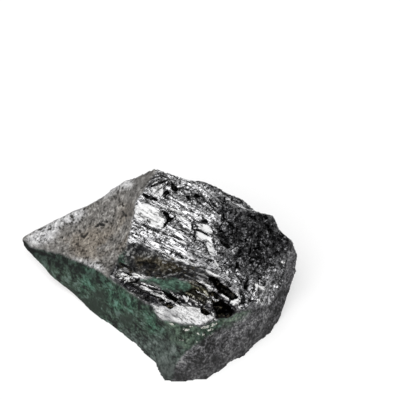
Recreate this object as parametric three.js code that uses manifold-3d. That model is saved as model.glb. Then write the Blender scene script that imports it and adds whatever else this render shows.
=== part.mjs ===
// A lump of crushed silicon metal, in millimetres, +Z up, resting on its one flat fracture face.
//
// The lump is a single solid. Its main form is a closed shell of broken facets between named corners: a
// smooth cast skin (crust), a stained side wall, a bright cleavage face that steps down over a riser to a
// lower terrace, a shaded shoulder, a grainy flank and a rough back. Each facet is cut into small triangles,
// which are then moved along the facet's normal by its relief: broad swells and tilted crystal plates, long
// ones where the crystal is cleaved. Last, open gashes are cut.
import * as THREE from "three";
import { ConvexGeometry } from "three/addons/geometries/ConvexGeometry.js";
import { ImprovedNoise } from "three/addons/math/ImprovedNoise.js";
import { TessellateModifier } from "three/addons/modifiers/TessellateModifier.js";
import { mergeVertices } from "three/addons/utils/BufferGeometryUtils.js";
import Module from "manifold-3d";

const LONGEST_EDGE = 3.05; // longest triangle edge before the relief is applied
const SPLIT_ROUNDS = 14; // enough halvings to bring every edge under LONGEST_EDGE
const MERGE_DISTANCE = 1e-3; // corners of neighbouring triangles closer than this are one
// sideways shift of the corners inside a facet, so that no two crystals are alike
const SCATTER = 0.7;

// Corners of the main form. -Y is the front, where the lump comes to a toe, and -X is its thin tail. Corners
// at -2 lie under the ground plane, which cuts the resting face.
const corners = {
  // upper rim, from the tail over the crown and down to the right
  tail: [-49.2, 26, 8.2],
  rim1: [-35.5, 27, 16.7],
  rim2: [-22.5, 26, 26.3],
  rim3: [-11.5, 26, 36.2],
  crown: [-1, 24, 44],
  ridge1: [6.5, 20.5, 43],
  ridge2: [13, 18, 41.5],
  ridge3: [21.5, 16, 37],
  ridge4: [29.5, 16, 32],
  ridge5: [37.5, 18, 27],
  notch: [39.5, 14.5, 24],
  brow: [43.5, 12.5, 21.5],
  cheek: [46.8, 10.5, 16],
  jaw: [44.5, 5, 10],
  chin: [41.5, -2, 4.5],
  // foot of the walls
  toe: [1, -30.6, -2],
  toeEnd: [16, -30, -2],
  foot1: [26.2, -21.1, -2],
  foot2: [31.8, -18.1, -2],
  foot3: [35.2, -12.6, -2],
  foot4: [38.8, -5.4, -2],
  sole1: [36, 5, -2],
  sole2: [33, 20, -2],
  sole3: [16, 30, -2],
  sole4: [-6, 32, -2],
  sole5: [-25, 27, -2],
  sole6: [-29, 15, -2],
  heel3: [-19.5, -4.6, -2],
  heel2: [-10.5, -13, -2],
  heel1: [-1.9, -22.6, -2],
  // lower edge of the side wall, where it lifts off the ground towards the tail
  heel4: [-29.5, 5.3, 1.9],
  heel5: [-38.3, 12.5, 4.2],
  tailFoot: [-48.3, 23.4, 6.2],
  // upper edge of the side wall, from the tail to the front
  wall1: [-41, 20, 10],
  wall2: [-32, 12.5, 14],
  wall3: [-22.5, 3.5, 17.5],
  saddle: [-15.5, -3, 19.5],
  wall4: [-8, -11.5, 20],
  wall5: [-3, -16.5, 20],
  wall6: [1.5, -21.5, 19.5],
  wall7: [7.5, -25.5, 17],
  prow: [13, -25.5, 14.5],
  // fold between the crust and the cleavage face
  fold1: [-8.5, 14.5, 36],
  fold2: [-10.5, 6, 27.5],
  fold3: [-13.5, 1.5, 23],
  // lower edge of the cleavage face, on top of the riser
  ledge1: [-3, 2, 27.5],
  ledge2: [4, -1.5, 27],
  ledge3: [12, -3.5, 25.5],
  ledge4: [19.5, -5.5, 23],
  // spur between the cleavage face and the shoulder
  spur0: [22, 12, 37],
  spur1: [18.5, 5, 33],
  spur2: [19.5, -0.5, 29.5],
  spur3: [22.5, -3.5, 25.5],
  spur4: [26, -7.5, 20.5],
  // foot of the riser
  step1: [-13, -0.5, 20.5],
  step2: [-3, -3.5, 20.5],
  step3: [5, -5, 20.5],
  step4: [13, -6, 20],
  step5: [20.5, -8, 18.5],
  step6: [25, -11, 17.5],
  // gutter at the front of the terrace
  gutter1: [-7.5, -9, 20],
  gutter2: [-1, -12, 20.5],
  gutter3: [6.5, -12.5, 20.5],
  gutter4: [15, -12.5, 19],
  gutter5: [21, -14, 17],
  // the lens, a bright facet in front of the gutter
  lens1: [0.5, -16, 22.5],
  lens2: [7.5, -16.5, 23],
  lens3: [14.5, -17, 21.5],
  lens4: [17.5, -18, 18.5],
  lens5: [14, -20.5, 18],
  lens6: [7.5, -22, 18.5],
  // upper edge of the flank
  rise1: [21.5, -18, 15.5],
  rise2: [28, -14, 16],
  rise3: [33.5, -7, 17.5],
  rise4: [37.5, 2, 19],
  rise5: [41, 9.5, 21],
  // waist of the back, from the right to the tail
  back1: [43, 18, 8],
  back2: [36, 30, 14],
  back3: [13, 37, 19],
  back4: [-13, 38, 16.5],
  back5: [-24, 36, 15.3],
  back6: [-37, 33, 9.8],
  // ledge across the back: its inner line and its lip
  cove1: [-9, 30.5, 28.5],
  cove2: [4, 30.5, 33],
  cove3: [15.5, 26.5, 32.5],
  cove4: [25.5, 22, 29],
  lip1: [-12, 34.5, 26.5],
  lip2: [3, 35, 31],
  lip3: [16, 31.5, 30],
  lip4: [28, 27.5, 25.5],
  // low bulge of the back
  hip1: [-24, 35, 5.5],
  hip2: [-2, 39.5, 8.5],
  hip3: [20, 36, 5],
  hip4: [36, 25, 5],
};

// How each kind of surface departs from its flat facet, as heights in mm. Plates are `plateSize` across,
// and `stretch` times as long as that along the cleavage streaks.
const reliefs = {
  skin: { swell: 0.55, plate: 0.12, plateSize: 6, stretch: 1 },
  stained: { swell: 0.65, plate: 0.25, plateSize: 6, stretch: 1 },
  cleaved: { swell: 0.4, plate: 0.6, plateSize: 5.5, stretch: 3 },
  grainy: { swell: 0.75, plate: 0.45, plateSize: 7, stretch: 1 },
};

// Facets of the main form, each a loop of corners seen counter-clockwise from outside.
const facets = {
  crust: ["skin", "tail wall1 wall2 wall3 saddle fold3 fold2 fold1 crown rim3 rim2 rim1"],
  sideTail: ["stained", "tail tailFoot heel5 heel4 heel3 saddle wall3 wall2 wall1"],
  sideToe: ["stained", "heel3 heel2 heel1 wall7 wall6 wall5 wall4 saddle"],
  toeLeft: ["stained", "heel1 toe wall7"],
  toeFront: ["stained", "toe prow wall7"],
  lens: ["cleaved", "wall5 wall6 lens6 lens5 lens4 lens3 lens2 lens1"],
  gutter: ["cleaved", "wall4 wall5 lens1 lens2 lens3 lens4 gutter5 gutter4 gutter3 gutter2 gutter1"],
  apron: ["stained", "wall6 wall7 prow rise1 lens4 lens5 lens6"],
  terrace: [
    "cleaved",
    "saddle wall4 gutter1 gutter2 gutter3 gutter4 gutter5 step6 step5 step4 step3 step2 step1",
  ],
  riser: [
    "grainy",
    "fold3 saddle step1 step2 step3 step4 step5 step6 spur4 ledge4 ledge3 ledge2 ledge1 fold2",
  ],
  cleavage: [
    "cleaved",
    "crown fold1 fold2 ledge1 ledge2 ledge3 ledge4 spur4 spur3 spur2 spur1 spur0 ridge2 ridge1",
  ],
  shade: ["grainy", "ridge2 spur0 spur1 spur2 rise4 rise5 brow notch ridge5 ridge4 ridge3"],
  shoulder: ["grainy", "spur2 spur3 spur4 step6 gutter5 lens4 rise1 rise2 rise3 rise4"],
  flankToe: ["stained", "toe toeEnd prow"],
  flankFront: ["stained", "toeEnd foot1 rise1 prow"],
  flankMid: ["stained", "foot1 foot2 foot3 rise3 rise2 rise1"],
  flankRight: ["stained", "foot3 foot4 chin jaw rise4 rise3"],
  flankBrow: ["stained", "jaw cheek brow rise5 rise4"],
  sole: [
    "skin",
    "heel1 heel2 heel3 sole6 sole5 sole4 sole3 sole2 sole1 foot4 foot3 foot2 foot1 toeEnd toe",
  ],
  belly: ["grainy", "sole6 heel3 heel4 heel5 tailFoot sole5"],
  tailBack: ["grainy", "sole5 tailFoot tail back6"],
  backTail: ["grainy", "back6 tail rim1 rim2 back5"],
  backRim: ["grainy", "back5 rim2 rim3 cove1 lip1 back4"],
  backCrown: ["cleaved", "cove1 rim3 crown ridge1 ridge2 ridge3 cove4 cove3 cove2"],
  backLedge: ["grainy", "cove1 cove2 cove3 cove4 lip4 lip3 lip2 lip1"],
  backWall: ["cleaved", "back4 lip1 lip2 lip3 back3"],
  backCorner: ["grainy", "back3 lip3 lip4 back2"],
  backSlope: ["grainy", "back2 lip4 cove4 ridge3 ridge4 ridge5"],
  backNotch: ["grainy", "back2 ridge5 notch back1"],
  backCheek: ["grainy", "back1 notch brow cheek"],
  backJaw: ["grainy", "back1 cheek jaw chin foot4 sole1"],
  backRight: ["grainy", "sole2 hip4 back2 back1 sole1"],
  hipTail: ["grainy", "sole5 back6 back5 hip1"],
  hipTailFoot: ["grainy", "sole5 hip1 sole4"],
  hipLeft: ["grainy", "sole4 hip1 back5 back4 hip2"],
  hipLeftFoot: ["grainy", "sole4 hip2 sole3"],
  hipMiddle: ["cleaved", "hip2 back4 back3 hip3"],
  hipMiddleFoot: ["grainy", "hip2 hip3 sole3"],
  hipRight: ["grainy", "hip3 back3 back2 hip4"],
  hipRightFoot: ["grainy", "sole3 hip3 hip4 sole2"],
};

// Open gashes, each cut into one facet between two points of it: width at the surface and depth, in mm.
const gashes = [
  { facet: "terrace", from: [13.5, -6.5, 20], to: [22.5, -11.5, 18], width: 2.2, depth: 3 },
  { facet: "terrace", from: [-7, -8, 20], to: [4.5, -10.5, 20.5], width: 1.6, depth: 2.4 },
  { facet: "gutter", from: [-5.5, -12, 20.5], to: [5, -14, 21.5], width: 2.2, depth: 3 },
  { facet: "gutter", from: [12.5, -12, 19.5], to: [19.5, -16.5, 17.5], width: 4.2, depth: 3.6 },
  { facet: "riser", from: [-9, 1.5, 23], to: [3, -3, 24], width: 2, depth: 2 },
  { facet: "cleavage", from: [6, 17, 40.5], to: [14, 12, 37.5], width: 1.6, depth: 1.6 },
  { facet: "cleavage", from: [9, 9, 35], to: [16, 5.5, 33], width: 1.4, depth: 1.5 },
  { facet: "shoulder", from: [27, -9, 19], to: [30, -3, 22], width: 1.8, depth: 1.8 },
  { facet: "backCrown", from: [-3, 28.5, 34], to: [9, 25.5, 37.5], width: 2, depth: 2.2 },
  { facet: "backWall", from: [-6, 37.5, 20], to: [4, 36, 25], width: 2.2, depth: 2.4 },
  { facet: "hipLeft", from: [-18, 37.5, 10], to: [-9, 38.5, 14.5], width: 2.4, depth: 2.6 },
  { facet: "backSlope", from: [29, 24, 25], to: [35, 21, 25], width: 2, depth: 2.2 },
];

const STREAK = new THREE.Vector3(30, -11.5, -4.5).normalize(); // run of the cleavage streaks
const GROUND_CUT = { size: [120, 100, 20], y: 5 }; // block whose top face is the ground plane

// Newell's normal, which also suits a loop that is slightly out of plane.
function loopNormal(points) {
  const sum = new THREE.Vector3();
  points.forEach((point, i) => sum.add(point.clone().cross(points[(i + 1) % points.length])));
  return sum.normalize();
}

const facetList = Object.entries(facets).map(([name, [relief, loop]]) => {
  const points = loop.split(" ").map((corner) => new THREE.Vector3(...corners[corner]));
  return { name, relief: reliefs[relief], points, normal: loopNormal(points) };
});

// One facet as triangles, each corner of them with the facet's number.
function facetTriangles(facet, number) {
  const across = new THREE.Vector3().subVectors(facet.points[1], facet.points[0]).normalize();
  const along = new THREE.Vector3().crossVectors(facet.normal, across).normalize();
  across.crossVectors(along, facet.normal);
  const flat = facet.points.map((point) => new THREE.Vector2(point.dot(across), point.dot(along)));
  const triangles = THREE.ShapeUtils.triangulateShape(flat, []);
  return triangles.flat().map((i) => ({ point: facet.points[i], number }));
}

// The main form in small triangles. The first texture coordinate carries each triangle's facet number.
function mainForm() {
  const vertices = facetList.flatMap(facetTriangles);
  const position = vertices.flatMap((vertex) => vertex.point.toArray());
  const number = vertices.flatMap((vertex) => [vertex.number, 0]);
  const geometry = new THREE.BufferGeometry();
  geometry.setAttribute("position", new THREE.Float32BufferAttribute(position, 3));
  geometry.setAttribute("uv", new THREE.Float32BufferAttribute(number, 2));
  return new TessellateModifier(LONGEST_EDGE, SPLIT_ROUNDS).modify(geometry);
}

const noise = new ImprovedNoise();

// Smooth noise from -1 to 1 with swells about `size` mm across.
function swellAt(point, size) {
  return noise.noise(point.x / size, point.y / size, point.z / size);
}

// A repeatable random vector, with parts from 0 to 1, for each cell of a grid.
function cellRandom(cell, salt) {
  const part = (a, b, c) => {
    const wave = Math.sin(cell.x * a + cell.y * b + cell.z * c + salt) * 43758.5453;
    return wave - Math.floor(wave);
  };
  return new THREE.Vector3(
    part(127.1, 311.7, 74.7),
    part(269.5, 183.3, 246.1),
    part(113.5, 271.9, 124.6),
  );
}

// Height of tilted plates: space is cut into irregular cells, and each holds a plane of its own tilt, so
// that the surface breaks into flat steps. The result is from about -1 to 1.
function plateAt(point, size, stretch) {
  const shortening = point.dot(STREAK) * (1 / stretch - 1);
  const place = point.clone().addScaledVector(STREAK, shortening).divideScalar(size);
  const base = place.clone().floor();
  let nearest = Infinity;
  let height = 0;
  for (let n = 0; n < 27; n++) {
    const step = new THREE.Vector3((n % 3) - 1, (Math.floor(n / 3) % 3) - 1, Math.floor(n / 9) - 1);
    const cell = base.clone().add(step);
    const offset = place.clone().sub(cell).sub(cellRandom(cell, 0));
    if (offset.lengthSq() < nearest) {
      nearest = offset.lengthSq();
      const tilt = cellRandom(cell, 7).multiplyScalar(2).subScalar(1);
      height = 1.4 * tilt.dot(offset);
    }
  }
  return height;
}

// How far the surface of a facet stands out at a point, in mm.
function reliefAt(point, { swell, plate, plateSize, stretch }) {
  const swells = 1.2 * swellAt(point, 15) + 0.6 * swellAt(point, 7);
  return swell * swells + plate * 1.6 * plateAt(point, plateSize, stretch);
}

// The sideways shift of a corner inside a facet.
function scatterAt(point, { normal }) {
  const cell = point.clone().multiplyScalar(10).round();
  return cellRandom(cell, 3).subScalar(0.5).projectOnPlane(normal).multiplyScalar(2 * SCATTER);
}

// Moves every vertex along its facet's normal. One that several facets share takes the mean of their moves.
function roughen(geometry) {
  const position = geometry.attributes.position;
  const number = geometry.attributes.uv;
  const movesByPlace = new Map();
  const placeOf = (p) => p.toArray().map((x) => Math.round(x / MERGE_DISTANCE)).join();
  const point = new THREE.Vector3();
  for (let i = 0; i < position.count; i++) {
    point.fromBufferAttribute(position, i);
    const place = placeOf(point);
    if (!movesByPlace.has(place)) movesByPlace.set(place, new Map());
    const facet = facetList[Math.round(number.getX(i))];
    const move = facet.normal.clone().multiplyScalar(reliefAt(point, facet.relief));
    movesByPlace.get(place).set(facet.name, move);
  }
  for (let i = 0; i < position.count; i++) {
    point.fromBufferAttribute(position, i);
    const moves = movesByPlace.get(placeOf(point));
    if (moves.size === 1) point.add(scatterAt(point, facetList[Math.round(number.getX(i))]));
    moves.forEach((move) => point.addScaledVector(move, 1 / moves.size));
    position.setXYZ(i, point.x, point.y, point.z);
  }
  return geometry;
}

// The cutter of one gash: a sliver that is widest and deepest at the middle, and stands a little out of
// the facet.
function gashCutter({ facet, from, to, width, depth }) {
  const { normal } = facetList.find(({ name }) => name === facet);
  const start = new THREE.Vector3(...from);
  const end = new THREE.Vector3(...to);
  const side = new THREE.Vector3().subVectors(end, start).cross(normal).normalize();
  const at = (along, across, height) =>
    start.clone().lerp(end, along).addScaledVector(side, across).addScaledVector(normal, height);
  const above = depth * 0.8;
  return new ConvexGeometry([
    at(0, 0, above * 0.6),
    at(0.3, -width * 0.8, above),
    at(0.3, width * 0.8, above),
    at(0.7, -width * 0.8, above),
    at(0.7, width * 0.8, above),
    at(1, 0, above * 0.6),
    at(0.35, 0, -depth),
    at(0.6, width * 0.15, -depth * 0.9),
  ]);
}

const wasm = await Module();
wasm.setup();

// A closed geometry as a solid that can be cut.
function solidOf(geometry) {
  const bare = new THREE.BufferGeometry();
  bare.setAttribute("position", geometry.attributes.position);
  bare.setIndex(geometry.index);
  const merged = mergeVertices(bare, MERGE_DISTANCE);
  const vertProperties = merged.attributes.position.array;
  return new wasm.Manifold(new wasm.Mesh({ numProp: 3, vertProperties, triVerts: merged.index.array }));
}

function geometryOf(solid) {
  const mesh = solid.getMesh();
  const geometry = new THREE.BufferGeometry();
  geometry.setAttribute("position", new THREE.BufferAttribute(mesh.vertProperties, 3));
  geometry.setIndex(new THREE.BufferAttribute(mesh.triVerts, 1));
  return geometry;
}

function lumpGeometry() {
  let solid = solidOf(roughen(mainForm()));
  const ground = new THREE.BoxGeometry(...GROUND_CUT.size);
  ground.translate(0, GROUND_CUT.y, -GROUND_CUT.size[2] / 2);
  solid = solid.subtract(solidOf(ground));
  for (const gash of gashes) solid = solid.subtract(solidOf(gashCutter(gash)));
  const geometry = geometryOf(solid);
  geometry.computeVertexNormals();
  return geometry;
}

const silicon = new THREE.MeshStandardMaterial({ color: 0x8c8c90, roughness: 0.35, metalness: 1 });
const lump = new THREE.Mesh(lumpGeometry(), silicon);
lump.name = "silicon_lump";

// The part's origin is on the ground, under the middle of the lump's box.
const box = new THREE.Box3().setFromObject(lump);
const middle = box.getCenter(new THREE.Vector3());
lump.position.set(-middle.x, -middle.y, 0);

const part = new THREE.Group();
part.add(lump);
export default part;
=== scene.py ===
"""A lump of silicon metal on a pale floor. Metres, +Z up, -Y towards the camera."""
import math
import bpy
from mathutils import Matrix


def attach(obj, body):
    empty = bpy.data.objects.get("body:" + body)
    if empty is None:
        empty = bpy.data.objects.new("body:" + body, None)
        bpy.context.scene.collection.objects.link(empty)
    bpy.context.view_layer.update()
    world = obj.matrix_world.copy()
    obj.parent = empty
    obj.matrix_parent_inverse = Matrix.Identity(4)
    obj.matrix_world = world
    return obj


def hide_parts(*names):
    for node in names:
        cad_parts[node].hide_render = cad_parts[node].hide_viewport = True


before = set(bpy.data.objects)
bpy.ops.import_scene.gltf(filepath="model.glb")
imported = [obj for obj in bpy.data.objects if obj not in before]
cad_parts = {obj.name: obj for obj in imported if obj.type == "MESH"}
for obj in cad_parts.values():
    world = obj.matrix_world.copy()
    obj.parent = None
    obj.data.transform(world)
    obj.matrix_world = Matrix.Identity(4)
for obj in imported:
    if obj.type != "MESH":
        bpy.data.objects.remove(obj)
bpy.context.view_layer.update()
from types import SimpleNamespace

import bpy
import numpy as np
from mathutils import Vector

MM = 0.001
NODE = "silicon_lump"


def direction(*vector):
    """A vector of length 1."""
    return np.array(vector) / np.linalg.norm(vector)


# Camera, in mm and degrees. It looks down on the lump from the front.
CAMERA_PLACE = (14.62, -337.04, 385.52)
CAMERA_TILT = 45.0
LENS = 135.0
SENSOR = 36.0
IMAGE = 400  # width and height of the picture in pixels

# Light and floor, in metres and watts
LIGHT_DISTANCE = 1.6
KEY_LIGHT = {"towards": (-0.22, -0.47, 0.85), "size": (2.6, 2.2), "power": 50.0}
FILL_LIGHT = {"towards": (0.25, 0.95, 0.3), "size": (1.6, 1.0), "power": 12.0}
WORLD_LIGHT = 0.06
FLOOR_HALF = 3.0
FLOOR_GREY = 0.5
FLOOR_GLOW = 0.5  # keeps the lump's shadow faint

VOXEL = 0.44  # grain of the finished mesh, in mm
MOST_MOVED = 0.6  # how far smoothing may move a point of the lump's form, in mm
ON_FLOOR = 0.02  # points below this height, in mm, lie on the floor
STREAK = direction(30.0, -16.0, -8.0)  # run of the cleavage streaks
LEDGE_STREAK = direction(30.0, -20.5, 0.0)  # run of the blades on the terrace
WALL_GRAIN = direction(17.5, -18.0, -5.0)  # run of the grooves on the side wall
BACK_FOOT = 9.0  # height of the matt band round the back's foot, in mm
BACK_SKIN = -17.0  # the skin covers the back to the left of this, in mm
BRIGHT_FACE = (-0.13, -0.72, 0.69)  # the way the bright blades of crystal face

# How the drawn outlines and lines meet the lump, in pixels
WANDER = 1.2  # how far outlines stray from what is drawn
FINE_WANDER = 0.35  # how far lines, gashes and firm tints stray
FIRM = 2.0  # tints with edges this soft or less are firm
OUTLINE_SOFTNESS = 1.5
LINE_REACH = 4.0  # how far from a drawn line it is felt
VIEW_CELL = 3.0  # grain of the depths that tell what hides what

# Every path is text, "x,y x,y", in pixels of the picture.
# Outlines of the surfaces as the camera sees them, each laid over the ones before it
OUTLINES = {
    "matte": "150,400 160,340 200,330 216,325 236,314 252,309 270,304 281,290 286,270 289,250 290,238 "
             "310,235 320,300 280,370 210,400",
    "terrace": "100,280 110,258 214,258 240,292 238,312 216,320 195,312 140,312",
    "cleavage": "158,160 185,168 200,180 216,195 223,212 219,235 215,255 222,272 240,290 214,277 196,272 "
                "172,266 150,256 128,246 115,240 120,200 142,170",
    "riser": "115,260 120,244 128,244 137,243 145,247 152,252 159,254 163,259 172,261 180,262 187,265 "
             "193,267 204,270 211,275 200,280 175,280 150,277 135,274 119,270",
    "lens": "149,302 152,305 165,308 176,307 186,303 195,305 203,311 211,315 216,314 210,321 203,324 "
            "190,324 175,322 160,320 153,312",
    "stain": "0,238 20,239 28,242 31,247 45,250 66,256 88,265 101,273 112,280 130,292 149,306 159,319 "
             "176,323 200,326 216,320 232,313 216,330 200,341 185,352 175,366 168,400 120,400 0,290",
    "skin": "5,238 20,239 28,242 31,247 45,250 66,256 88,265 101,273 109,279 111,273 114,267 118,260 "
            "120,254 127,248 128,241 131,222 135,205 142,191 150,180 158,166 150,155 90,175 30,205",
}
# Tints and flat places: the softness of their edges in pixels, then their outlines
TINTS = {
    "block": (
        1.0,
        "134,206 141,204 149,205 158,209 161,214 164,220 163,227 157,228 150,226 144,220 135,219 133,213",
        "198,224 205,224 210,228 212,232 208,235 203,232 198,228",
        "195,231 201,232 206,235 210,237 211,240 203,240 197,239",
        "206,242 211,241 214,250 212,256 208,251",
        "152,188 159,185 163,195 154,198",
    ),
    "bright_band": (
        3.0,
        "130,234 136,240 146,246 160,251 172,258 188,261 200,268 186,265 165,260 146,250 128,245",
        "140,229 158,231 176,241 190,246 186,256 166,248 146,238",
        "158,202 170,206 186,211 190,218 172,219 166,210",
        "180,222 188,222 190,228 182,228",
    ),
    "crackle": (
        4.0,
        "140,192 146,180 158,160 185,168 200,180 216,195 224,212 214,218 200,212 190,204 170,200 156,204 "
        "144,205",
        "188,220 195,222 195,240 190,240",
        "211,218 224,214 222,262 214,262 213,240",
        "184,238 197,240 205,246 210,258 214,264 200,262 188,254",
    ),
    # Painted shadow: the rear lump, left out of the scene, shades this part of the crown and shoulder
    "shade": (4.0, "185,160 202,182 214,198 217,214 216,232 222,248 236,255 248,266 262,268 282,252 "
                   "290,252 292,236 300,230 260,180"),
    "chalky": (
        3.0,
        "251,285 262,278 278,284 278,300 264,308 252,300",
        "230,299 240,298 241,306 232,305",
        "222,268 236,268 240,284 226,280",
        "224,246 236,248 236,258 224,256",
    ),
    "patch": (3.0, "138,280 158,277 176,278 188,282 193,288 184,293 166,291 154,285"),
    "olive": (
        4.0,
        "186,282 206,284 214,296 204,303 186,296",
        "134,257 158,257 178,264 190,270 174,274 138,271",
    ),
    "pale": (
        5.0,
        "26,240 35,228 52,221 66,213 84,206 84,214 74,222 60,226 52,240 40,245 30,245",
        "98,198 108,188 118,183 128,178 133,181 131,187 120,188 107,196",
        "74,258 86,262 98,262 103,270 96,271 86,266",
    ),
    "warm": (
        8.0,
        "64,240 84,228 112,226 118,240 100,262 76,258",
        "122,206 132,204 128,240 120,250 116,236",
    ),
    # Painted shade along edges and in corners: under the skin's edge, at the tail's tip, by the terrace and
    # beside the crest
    "sooty": (
        6.0,
        "134,176 154,166 138,200 128,222 122,210",
        "106,266 119,260 122,278 110,280",
        "12,230 22,235 27,243 22,250 12,248",
        "122,281 134,279 142,284 146,290 134,290 124,287",
        "60,256 86,268 104,277 106,286 86,278 64,268",
        "18,240 26,243 60,254 76,260 74,268 56,266 38,262 20,250",
    ),
    "dusky": (
        4.0,
        "192,246 206,254 214,262 226,272 240,290 222,284 206,274 196,266 186,256",
        "165,308 173,309 176,313 172,318 180,325 168,325 163,317",
    ),
    "murky": (
        4.0,
        "90,290 108,292 106,299 92,298",
        "118,315 134,317 132,325 120,324",
        "60,284 72,286 88,296 104,302 112,312 100,318 80,304",
    ),
    "bright_green": (
        5.0,
        "81,266 92,268 95,290 82,294",
        "98,276 112,281 120,292 104,290",
        "104,286 122,291 136,303 132,313 112,310",
        "142,308 152,314 158,324 164,334 150,332",
        "117,252 122,250 125,256 127,263 122,266 118,262",
    ),
    "greyed": (9.0, "124,330 150,338 168,336 182,348 178,392 140,384"),
    "mossy": (
        6.0,
        "168,322 196,325 198,340 186,346 172,338",
        "222,321 236,312 248,312 238,321 226,327",
    ),
    # Painted shade: the flank darkened along its foot, near the floor
    "dim_foot": (9.0, "156,362 196,361 216,354 234,344 250,330 266,320 282,326 262,358 232,386 200,400 "
                      "156,400"),
}
# The corner that is worn round
ROUNDED = "196,322 222,318 226,334 196,350 184,392 162,392 176,350"
ROUNDED_SOFTNESS = 8.0
# Bright raised blades and chips of crystal: width in pixels, height in mm, then paths
BLADES = [
    # blades of the terrace
    (2.8, 0.4, "140,286 150,291 161,297 170,302"),
    (1.8, 0.3, "161,297 172,302 179,306", "212,312 214,316", "238,306 241,309"),
    (1.2, 0.3, "166,289 173,294 180,299"),
    (1.2, 0.2, "140,282 150,286 156,288"),
    (2.2, 0.3, "183,296 186,299 187,302"),
    (1.4, 0.3, "187,296 189,300", "200,304 204,307 208,311"),
    (1.6, 0.3, "189,303 192,304", "196,291 204,295 211,299"),
    (3.0, 0.4, "197,280 205,284 213,290"),
    (3.2, 0.4, "222,294 225,296 229,299"),
    (5.5, 0.4, "231,303 235,302 240,302"),
    # flakes beside the skin and along the foot of the riser
    (1.8, 0.4, "122,267 127,270 130,272"),
    (2.4, 0.4, "121,274 124,275", "125,278 130,279"),
    (1.6, 0.3, "124,284 127,280", "119,279 122,278", "132,276 138,277", "195,272 203,275 210,279",
               "172,267 176,268", "181,266 186,267"),
    (1.5, 0.3, "138,271 141,274"),
    (2.0, 0.3, "141,275 145,277 151,278"),
    (1.4, 0.3, "155,278 164,277 170,275 178,273"),
    (2.6, 0.3, "205,270 212,274 221,278"),
    (2.6, 0.2, "127,253 129,255"),
    (2.2, 0.2, "131,256 134,258"),
    (2.4, 0.3, "148,257 151,256"),
    (1.8, 0.3, "162,262 167,263"),
    # chips at the right end of the riser
    (1.4, 0.2, "168,269 172,271", "183,269 187,270", "190,270 194,272", "178,280 184,279"),
    (1.3, 0.2, "176,264 179,266"),
    (1.6, 0.2, "184,275 191,277"),
    (1.8, 0.2, "196,276 204,280"),
    # bright blocks of the cleavage
    (3.0, 0.1, "170,208 176,211 183,213", "180,240 186,244"),
    (2.0, 0.1, "160,205 166,208 170,210"),
    (2.6, 0.1, "176,216 181,218 187,219", "160,251 168,255 174,258"),
    (6.0, 0.1, "201,227 208,231"),
    (5.5, 0.1, "198,234 207,238"),
    (2.2, 0.1, "189,224 191,229"),
    # crown
    (4.5, 0.1, "155,188 155,197"),
    (4.0, 0.1, "161,185 161,195"),
    (1.6, 0.2, "152,185 158,181", "216,203 218,207", "218,216 222,215"),
    (1.4, 0.2, "184,202 189,206"),
    # lower edge of the cleavage
    (3.2, 0.2, "161,252 169,257 179,260"),
    (2.8, 0.2, "177,259 187,262 198,267"),
    (2.2, 0.2, "128,239 131,243"),
    # chips in front of the lens
    (1.8, 0.2, "168,323 173,325", "207,331 213,329"),
    (2.0, 0.2, "182,329 186,330 190,330"),
    (1.4, 0.2, "179,340 183,341", "189,326 194,327"),
    (1.6, 0.2, "195,341 198,342", "196,332 200,335"),
    (2.6, 0.2, "201,328 208,327 217,323"),
    (2.2, 0.2, "203,331 204,337"),
    (1.5, 0.2, "209,336 213,333"),
    # shoulder
    (4.0, 0.2, "255,285 260,288 266,288"),
    (5.0, 0.2, "257,302 261,301 264,299"),
    (3.0, 0.2, "262,291 268,293", "215,262 218,267"),
    (2.4, 0.2, "280,262 286,263"),
]
# Open gashes: depth in mm, then outline
GASHES = [
    (2.4, "208,277 216,278 224,286 232,292 238,298 233,300 226,296 219,291 212,284"),
    (2.8, "209,292 215,292 218,298 225,303 231,307 234,313 229,318 219,318 214,310 212,301"),
    (1.7, "160,289 166,291 173,294 180,300 176,301 168,297"),
    (1.9, "158,299 164,300 170,303 175,307 170,309 163,306"),
    (1.5, "199,306 203,307 208,311 211,314 207,316 201,312"),
    (0.8, "150,293 154,294 159,296 162,299 156,298"),
    (0.8, "162,210 166,211 169,214 170,217 173,217 175,215 175,217 172,220 169,222 167,224 165,227 "
          "163,228 164,224 167,221 167,217 164,214"),
    (0.7, "163,192 167,190 170,193 168,195 163,195"),
    (0.7, "171,181 174,184 177,189 180,187 176,192 171,189"),
    (0.6, "192,193 197,194 201,197 196,198"),
    (0.6, "185,194 189,196 191,201 187,200"),
    (0.6, "201,220 205,219 208,221 207,223 203,222"),
    (0.8, "235,260 239,262 241,270 236,267"),
]
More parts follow.
